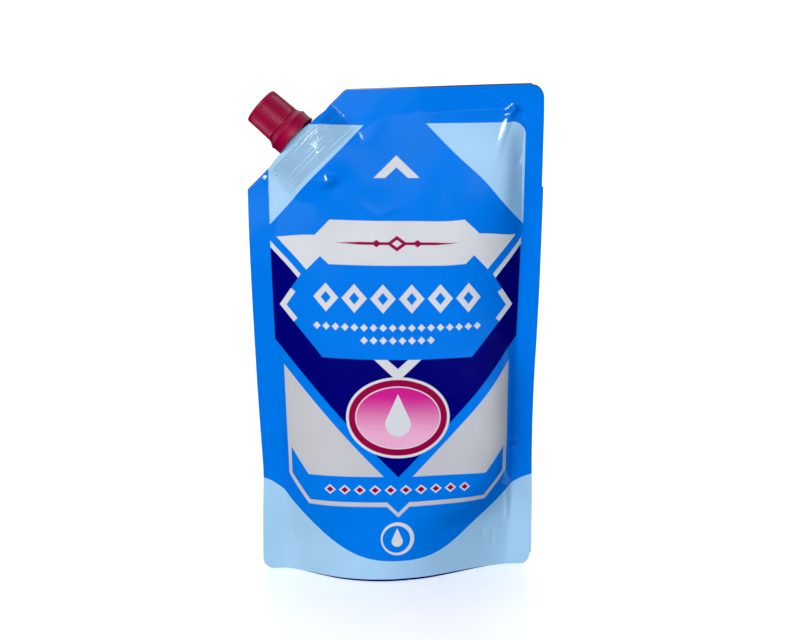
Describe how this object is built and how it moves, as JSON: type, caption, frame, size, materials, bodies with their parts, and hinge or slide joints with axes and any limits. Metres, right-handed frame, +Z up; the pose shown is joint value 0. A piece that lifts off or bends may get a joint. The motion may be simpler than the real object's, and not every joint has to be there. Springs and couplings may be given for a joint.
{
  "type": "condensed milk pouch",
  "caption": "Filled stand-up film pouch for condensed milk, with welded edges, a folded base to stand on, and a ribbed screw cap on a spout in the cut top corner.",
  "frame": {"origin": "on the floor, under the middle of the pouch", "axes": "+X to the right as seen from the front, +Y towards the back, +Z up"},
  "size_m": [0.1295, 0.0407, 0.2205],
  "materials": {
    "film": "glossy printed laminate in blue, pale blue, navy and white",
    "spout_plastic": "natural milky moulded plastic",
    "cap_plastic": "moulded plastic with a satin gloss"
  },
  "bodies": {
    "root": {"pouch": "film", "spout": "spout_plastic", "tamper_band": "cap_plastic", "cap": "cap_plastic"}
  },
  "joints": []
}
